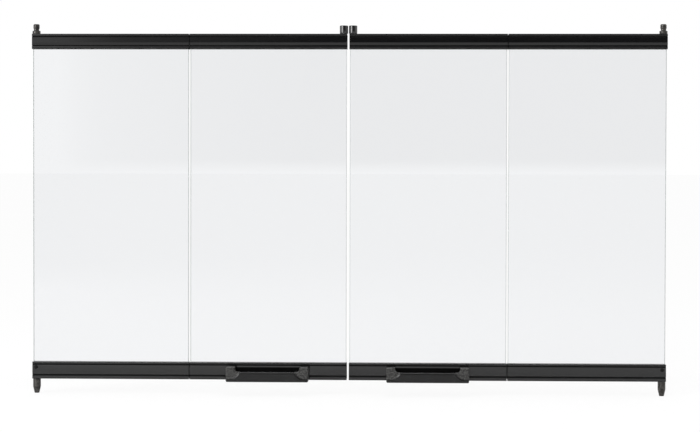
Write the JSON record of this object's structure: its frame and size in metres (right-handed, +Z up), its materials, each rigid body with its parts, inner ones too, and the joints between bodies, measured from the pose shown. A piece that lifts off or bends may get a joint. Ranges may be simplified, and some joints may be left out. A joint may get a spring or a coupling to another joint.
{
  "type": "bi-fold fireplace glass door",
  "caption": "Bi-fold fireplace door: two pairs of frameless glass panels in black rails, with pivots, guide rollers, back hinges and bar handles.",
  "frame": {"origin": "midway between the tips of the two bottom pivot pins", "axes": "+X along the rails from the left pivot to the right one as seen from the room, +Y away from the room into the fireplace, +Z up"},
  "size_m": [0.9108, 0.0477, 0.5316],
  "materials": {
    "glass": "clear tempered glass with ground edges",
    "rail": "gloss black",
    "gasket": "woven fibre, black",
    "bracket": "zinc plated",
    "pivot": "matt dark steel",
    "spring": "drawn wire",
    "roller": "gloss black",
    "axle": "plain steel",
    "hinge": "satin dark steel",
    "fastener": "satin black",
    "handle": "black, rough cast ends and a smooth grip"
  },
  "bodies": {
    "pivot_pins": {"left_bottom_pivot_pin": "pivot", "right_bottom_pivot_pin": "pivot"},
    "left_outer_panel": {"left_outer_glass": "glass", "left_outer_top_rail": "rail", "left_outer_bottom_rail": "rail", "left_outer_top_gasket": "gasket", "left_outer_bottom_gasket": "gasket", "left_top_pivot_bracket": "bracket", "left_bottom_pivot_bracket": "bracket", "left_top_pivot_spring": "spring", "left_top_pivot_collar": "pivot", "left_top_bracket_rivet": "fastener", "left_bottom_bracket_rivet": "fastener", "left_top_hinge_outer_leaf": "hinge", "left_bottom_hinge_outer_leaf": "hinge", "left_top_hinge_pin": "hinge", "left_bottom_hinge_pin": "hinge"},
    "left_inner_panel": {"left_inner_glass": "glass", "left_inner_top_rail": "rail", "left_inner_bottom_rail": "rail", "left_inner_top_gasket": "gasket", "left_inner_bottom_gasket": "gasket", "left_roller_bracket": "bracket", "left_roller_axle": "axle", "left_top_hinge_inner_leaf": "hinge", "left_bottom_hinge_inner_leaf": "hinge", "left_handle": "handle", "left_handle_screw_hinge_side": "fastener", "left_handle_screw_centre_side": "fastener"},
    "left_plunger": {"left_top_pivot_plunger": "pivot"},
    "left_roller": {"left_guide_roller": "roller"},
    "right_outer_panel": {"right_outer_glass": "glass", "right_outer_top_rail": "rail", "right_outer_bottom_rail": "rail", "right_outer_top_gasket": "gasket", "right_outer_bottom_gasket": "gasket", "right_top_pivot_bracket": "bracket", "right_bottom_pivot_bracket": "bracket", "right_top_pivot_spring": "spring", "right_top_pivot_collar": "pivot", "right_top_bracket_rivet": "fastener", "right_bottom_bracket_rivet": "fastener", "right_top_hinge_outer_leaf": "hinge", "right_bottom_hinge_outer_leaf": "hinge", "right_top_hinge_pin": "hinge", "right_bottom_hinge_pin": "hinge"},
    "right_inner_panel": {"right_inner_glass": "glass", "right_inner_top_rail": "rail", "right_inner_bottom_rail": "rail", "right_inner_top_gasket": "gasket", "right_inner_bottom_gasket": "gasket", "right_roller_bracket": "bracket", "right_roller_axle": "axle", "right_top_hinge_inner_leaf": "hinge", "right_bottom_hinge_inner_leaf": "hinge", "right_handle": "handle", "right_handle_screw_hinge_side": "fastener", "right_handle_screw_centre_side": "fastener"},
    "right_plunger": {"right_top_pivot_plunger": "pivot"},
    "right_roller": {"right_guide_roller": "roller"}
  },
  "joints": [
    {"name": "left_pivot", "type": "hinge", "parent": "pivot_pins", "child": "left_outer_panel", "pos_m": [-0.4496, 0, 0], "axis": [0, 0, -1], "range_deg": [0, 88]},
    {"name": "left_fold", "type": "hinge", "parent": "left_outer_panel", "child": "left_inner_panel", "pos_m": [-0.22825, 0.011, 0], "axis": [0, 0, 1], "range_deg": [0, 176]},
    {"name": "left_roller_spin", "type": "hinge", "parent": "left_inner_panel", "child": "left_roller", "pos_m": [-0.0066, 0, 0.5176], "axis": [0, 0, 1], "continuous": true},
    {"name": "left_plunger_press", "type": "slide", "parent": "left_outer_panel", "child": "left_plunger", "axis": [0, 0, -1], "range_m": [0, 0.0058], "stiffness_N_per_m": 800, "springref_m": -0.006, "deforming": ["left_top_pivot_spring"]},
    {"name": "right_pivot", "type": "hinge", "parent": "pivot_pins", "child": "right_outer_panel", "pos_m": [0.4496, 0, 0], "axis": [0, 0, 1], "range_deg": [0, 88]},
    {"name": "right_fold", "type": "hinge", "parent": "right_outer_panel", "child": "right_inner_panel", "pos_m": [0.22825, 0.011, 0], "axis": [0, 0, -1], "range_deg": [0, 176]},
    {"name": "right_roller_spin", "type": "hinge", "parent": "right_inner_panel", "child": "right_roller", "pos_m": [0.0066, 0, 0.5176], "axis": [0, 0, 1], "continuous": true},
    {"name": "right_plunger_press", "type": "slide", "parent": "right_outer_panel", "child": "right_plunger", "axis": [0, 0, -1], "range_m": [0, 0.0058], "stiffness_N_per_m": 800, "springref_m": -0.006, "deforming": ["right_top_pivot_spring"]}
  ],
  "couplings": [
    {"joint": "left_fold", "follows": "left_pivot", "ratio": 2},
    {"joint": "right_fold", "follows": "right_pivot", "ratio": 2}
  ]
}
